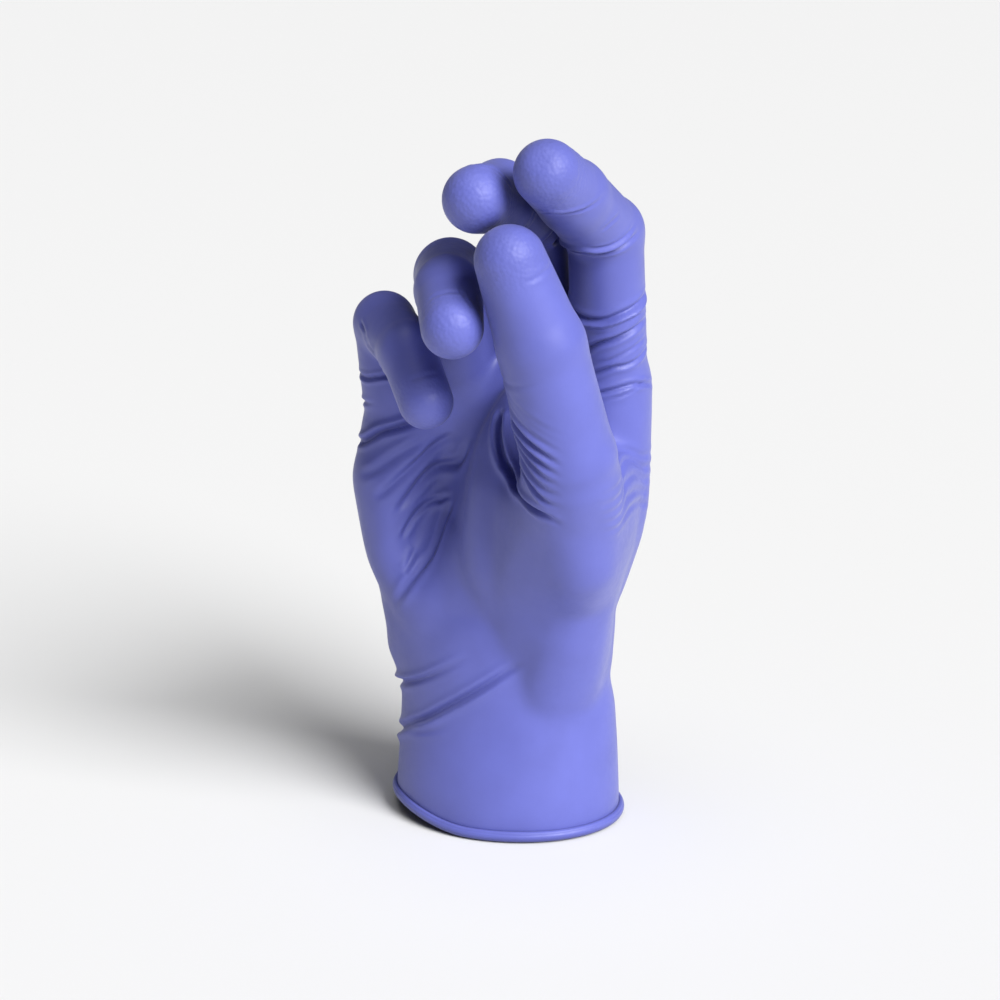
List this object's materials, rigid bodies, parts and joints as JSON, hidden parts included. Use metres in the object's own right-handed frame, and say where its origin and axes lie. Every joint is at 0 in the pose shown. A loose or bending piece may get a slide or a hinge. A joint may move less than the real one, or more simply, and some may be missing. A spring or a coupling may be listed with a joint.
{
  "type": "disposable glove",
  "caption": "Thin dipped disposable glove for the right hand in a lightly gripping worn shape, empty, with a rolled bead round the open cuff and fingers that bend at their creases.",
  "frame": {"origin": "centre of the hand opening, in the plane of the cuff rim", "axes": "+Z from the cuff to the fingertips, -Y to the palm side, +X to the thumb side"},
  "size_m": [0.0876, 0.0908, 0.204],
  "materials": {
    "film": "satin",
    "grip_film": "matte, finely textured"
  },
  "bodies": {
    "cuff": {"cuff_bead": "film", "cuff": "film", "wrist_fold": "film"},
    "palm": {"palm": "film", "thumb_base_fold": "film", "index_knuckle_fold": "film", "middle_knuckle_fold": "film", "ring_knuckle_fold": "film", "little_knuckle_fold": "film"},
    "thumb_metacarpal": {"thumb_base": "film", "thumb_middle_fold": "film"},
    "thumb_proximal": {"thumb_middle": "film", "thumb_end_fold": "film"},
    "thumb_distal": {"thumb_tip": "grip_film"},
    "index_proximal": {"index_proximal": "film", "index_middle_fold": "film"},
    "index_middle": {"index_middle": "film", "index_end_fold": "film"},
    "index_distal": {"index_tip": "grip_film"},
    "middle_proximal": {"middle_proximal": "film", "middle_middle_fold": "film"},
    "middle_middle": {"middle_middle": "film", "middle_end_fold": "film"},
    "middle_distal": {"middle_tip": "grip_film"},
    "ring_proximal": {"ring_proximal": "film", "ring_middle_fold": "film"},
    "ring_middle": {"ring_middle": "film", "ring_end_fold": "film"},
    "ring_distal": {"ring_tip": "grip_film"},
    "little_proximal": {"little_proximal": "film", "little_middle_fold": "film"},
    "little_middle": {"little_middle": "film", "little_end_fold": "film"},
    "little_distal": {"little_tip": "grip_film"}
  },
  "joints": [
    {"name": "wrist_bend", "type": "hinge", "parent": "cuff", "child": "palm", "pos_m": [0, 0, 0.038], "axis": [-1, 0, 0], "range_deg": [-20, 20], "deforming": ["wrist_fold"]},
    {"name": "index_knuckle", "type": "hinge", "parent": "palm", "child": "index_proximal", "pos_m": [0.03, 0, 0.13], "axis": [-0.9853, 0.1564, 0.0689], "range_deg": [0, 22], "deforming": ["index_knuckle_fold"]},
    {"name": "index_middle_joint", "type": "hinge", "parent": "index_proximal", "child": "index_middle", "pos_m": [0.0315, -0.01011, 0.17434], "axis": [-0.9853, 0.1564, 0.0689], "range_deg": [0, 35], "deforming": ["index_middle_fold"]},
    {"name": "index_end_joint", "type": "hinge", "parent": "index_middle", "child": "index_distal", "pos_m": [0.02899, -0.03149, 0.18704], "axis": [-0.9853, 0.1564, 0.0689], "range_deg": [-4, 15], "deforming": ["index_end_fold"]},
    {"name": "middle_knuckle", "type": "hinge", "parent": "palm", "child": "middle_proximal", "pos_m": [0.0095, 0.0035, 0.13], "axis": [-0.9994, 0.0349, 0], "range_deg": [0, 20], "deforming": ["middle_knuckle_fold"]},
    {"name": "middle_middle_joint", "type": "hinge", "parent": "middle_proximal", "child": "middle_middle", "pos_m": [0.00927, -0.00297, 0.17605], "axis": [-0.9994, 0.0349, 0], "range_deg": [0, 55], "deforming": ["middle_middle_fold"]},
    {"name": "middle_end_joint", "type": "hinge", "parent": "middle_middle", "child": "middle_distal", "pos_m": [0.00833, -0.0299, 0.18533], "axis": [-0.9994, 0.0349, 0], "range_deg": [-2, 15], "deforming": ["middle_end_fold"]},
    {"name": "ring_knuckle", "type": "hinge", "parent": "palm", "child": "ring_proximal", "pos_m": [-0.011, 0.0015, 0.123], "axis": [-0.9254, -0.342, -0.1632], "range_deg": [-4, 20], "deforming": ["ring_knuckle_fold"]},
    {"name": "ring_middle_joint", "type": "hinge", "parent": "ring_proximal", "child": "ring_middle", "pos_m": [-0.01246, -0.01328, 0.16229], "axis": [-0.9254, -0.342, -0.1632], "range_deg": [-10, 22], "deforming": ["ring_middle_fold"]},
    {"name": "ring_end_joint", "type": "hinge", "parent": "ring_middle", "child": "ring_distal", "pos_m": [-0.00299, -0.03856, 0.16156], "axis": [-0.9254, -0.342, -0.1632], "range_deg": [-20, 25], "deforming": ["ring_end_fold"]},
    {"name": "little_knuckle", "type": "hinge", "parent": "palm", "child": "little_proximal", "pos_m": [-0.0315, -0.0055, 0.112], "axis": [-0.7735, -0.6157, -0.1504], "range_deg": [-4, 18], "deforming": ["little_knuckle_fold"]},
    {"name": "little_middle_joint", "type": "hinge", "parent": "little_proximal", "child": "little_middle", "pos_m": [-0.03207, -0.01289, 0.14518], "axis": [-0.7735, -0.6157, -0.1504], "range_deg": [-4, 20], "deforming": ["little_middle_fold"]},
    {"name": "little_end_joint", "type": "hinge", "parent": "little_middle", "child": "little_distal", "pos_m": [-0.01876, -0.02862, 0.14116], "axis": [-0.7735, -0.6157, -0.1504], "range_deg": [-20, 35], "deforming": ["little_end_fold"]},
    {"name": "thumb_root", "type": "hinge", "parent": "palm", "child": "thumb_metacarpal", "pos_m": [0.029, -0.02, 0.071], "axis": [0.3202, 0.8937, 0.3143], "range_deg": [0, 20], "deforming": ["thumb_base_fold"]},
    {"name": "thumb_middle_joint", "type": "hinge", "parent": "thumb_metacarpal", "child": "thumb_proximal", "pos_m": [0.03064, -0.0371, 0.11796], "axis": [0.3202, 0.8937, 0.3143], "range_deg": [0, 25], "deforming": ["thumb_middle_fold"]},
    {"name": "thumb_end_joint", "type": "hinge", "parent": "thumb_proximal", "child": "thumb_distal", "pos_m": [0.0258, -0.04688, 0.15069], "axis": [0.3202, 0.8937, 0.3143], "range_deg": [0, 20], "deforming": ["thumb_end_fold"]}
  ]
}
